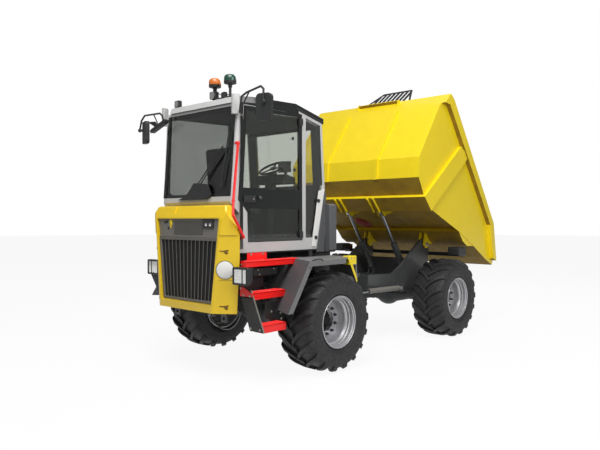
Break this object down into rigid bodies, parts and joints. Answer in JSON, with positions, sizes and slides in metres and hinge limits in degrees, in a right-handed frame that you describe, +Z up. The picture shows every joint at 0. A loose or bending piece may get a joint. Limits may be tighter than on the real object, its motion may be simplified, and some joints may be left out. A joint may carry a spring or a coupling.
{
  "type": "articulated site dumper",
  "caption": "Articulated site dumper: cab over an engine end, centre pivot, and a rear frame whose raised skip tips back on two cylinders.",
  "frame": {"origin": "on the ground under the middle of the length and width", "axes": "+X towards the cab end, +Y the machine's left (the door side), +Z up"},
  "size_m": [5.345, 2.5, 3.8281],
  "materials": {
    "paint_yellow": "gloss",
    "paint_light_grey": "satin",
    "paint_dark_grey": "satin",
    "paint_red": "gloss",
    "black_plastic": "matte",
    "grey_plastic": "matte",
    "glass": "tinted",
    "beacon": "gloss",
    "rubber_tyre": "matte",
    "rim_silver": "satin",
    "steel_rod": "polished",
    "cast": "satin",
    "fabric": "woven"
  },
  "bodies": {
    "front_unit": {"front_frame": "paint_dark_grey", "front_axle": "cast", "engine_block": "cast", "front_fenders": "grey_plastic", "steps": "paint_red", "side_tank": "black_plastic", "headlamps": "black_plastic", "cab_frame": "paint_light_grey", "cab_roof": "paint_light_grey", "windscreen": "glass", "side_glass": "glass", "rear_glass": "glass", "seat": "fabric", "console": "grey_plastic", "steering_wheel": "black_plastic", "wipers": "black_plastic", "mirrors": "black_plastic", "beacons": "beacon", "handrail": "paint_red", "rear_covers": "grey_plastic"},
    "hood": {"hood_shell": "paint_yellow", "hood_panel": "paint_dark_grey", "grille": "paint_dark_grey"},
    "door": {"door_frame": "black_plastic", "door_glass": "glass"},
    "centre": {"centre_joint": "cast"},
    "rear_unit": {"rear_frame": "paint_dark_grey", "rear_axle": "cast", "light_bar": "black_plastic"},
    "skip": {"skip_body": "paint_yellow", "skip_guard": "paint_dark_grey"},
    "barrel_left": {"tip_barrel_left": "paint_dark_grey"},
    "rod_left": {"tip_rod_left": "steel_rod"},
    "barrel_right": {"tip_barrel_right": "paint_dark_grey"},
    "rod_right": {"tip_rod_right": "steel_rod"},
    "steering_barrel": {"steer_barrel": "paint_light_grey"},
    "steering_rod": {"steer_rod": "steel_rod"},
    "wheel_front_left": {"tyre_front_left": "rubber_tyre", "rim_front_left": "rim_silver"},
    "wheel_front_right": {"tyre_front_right": "rubber_tyre", "rim_front_right": "rim_silver"},
    "wheel_rear_left": {"tyre_rear_left": "rubber_tyre", "rim_rear_left": "rim_silver"},
    "wheel_rear_right": {"tyre_rear_right": "rubber_tyre", "rim_rear_right": "rim_silver"}
  },
  "joints": [
    {"name": "roll", "type": "hinge", "parent": "front_unit", "child": "centre", "pos_m": [0.3665, 0, 0.76], "axis": [1, 0, 0], "range_deg": [-10, 10]},
    {"name": "articulation", "type": "hinge", "parent": "centre", "child": "rear_unit", "pos_m": [0.0975, 0, 0.74], "axis": [0, 0, 1], "range_deg": [-28, 28]},
    {"name": "wheel_front_left_spin", "type": "hinge", "parent": "front_unit", "child": "wheel_front_left", "pos_m": [1.4275, 1, 0.575], "axis": [0, 1, 0], "continuous": true},
    {"name": "wheel_front_right_spin", "type": "hinge", "parent": "front_unit", "child": "wheel_front_right", "pos_m": [1.4275, -1, 0.575], "axis": [0, 1, 0], "continuous": true},
    {"name": "wheel_rear_left_spin", "type": "hinge", "parent": "rear_unit", "child": "wheel_rear_left", "pos_m": [-1.3825, 1, 0.575], "axis": [0, 1, 0], "continuous": true},
    {"name": "wheel_rear_right_spin", "type": "hinge", "parent": "rear_unit", "child": "wheel_rear_right", "pos_m": [-1.3825, -1, 0.575], "axis": [0, 1, 0], "continuous": true},
    {"name": "door_hinge", "type": "hinge", "parent": "front_unit", "child": "door", "pos_m": [1.4355, 0.668, 2.24], "axis": [0, 0, 1], "range_deg": [0, 90]},
    {"name": "hood_hinge", "type": "hinge", "parent": "front_unit", "child": "hood", "pos_m": [2.6325, 0, 0.775], "axis": [0, 1, 0], "range_deg": [0, 75]},
    {"name": "skip_tip", "type": "hinge", "parent": "rear_unit", "child": "skip", "pos_m": [-1.5525, 0, 1.35], "axis": [0, 1, 0], "range_deg": [0, 50]},
    {"name": "tip_barrel_left_swing", "type": "hinge", "parent": "rear_unit", "child": "barrel_left", "pos_m": [-1.3725, 0.305, 0.93], "axis": [0, 1, 0], "range_deg": [-1, 47.36]},
    {"name": "tip_rod_left_slide", "type": "slide", "parent": "barrel_left", "child": "rod_left", "axis": [0.5724, 0, 0.82], "range_m": [-0.386, 0.002]},
    {"name": "tip_barrel_right_swing", "type": "hinge", "parent": "rear_unit", "child": "barrel_right", "pos_m": [-1.3725, -0.305, 0.93], "axis": [0, 1, 0], "range_deg": [-1, 47.36]},
    {"name": "tip_rod_right_slide", "type": "slide", "parent": "barrel_right", "child": "rod_right", "axis": [0.5724, 0, 0.82], "range_m": [-0.386, 0.002]},
    {"name": "steer_barrel_swing", "type": "hinge", "parent": "rear_unit", "child": "steering_barrel", "pos_m": [-0.7425, 0.64, 0.74], "axis": [0, 0, 1], "range_deg": [-3.94, 3.94]},
    {"name": "steer_rod_slide", "type": "slide", "parent": "steering_barrel", "child": "steering_rod", "axis": [0.9934, -0.1146, 0], "range_m": [-0.2595, 0.2595]}
  ],
  "couplings": [
    {"joint": "tip_barrel_left_swing", "follows": "skip_tip", "ratio": 0.92722},
    {"joint": "tip_rod_left_slide", "follows": "skip_tip", "m_per_rad": -0.43771},
    {"joint": "tip_barrel_right_swing", "follows": "skip_tip", "ratio": 0.92722},
    {"joint": "tip_rod_right_slide", "follows": "skip_tip", "m_per_rad": -0.43771},
    {"joint": "steer_barrel_swing", "follows": "articulation", "ratio": -0.10484},
    {"joint": "steer_rod_slide", "follows": "articulation", "m_per_rad": 0.52483}
  ]
}
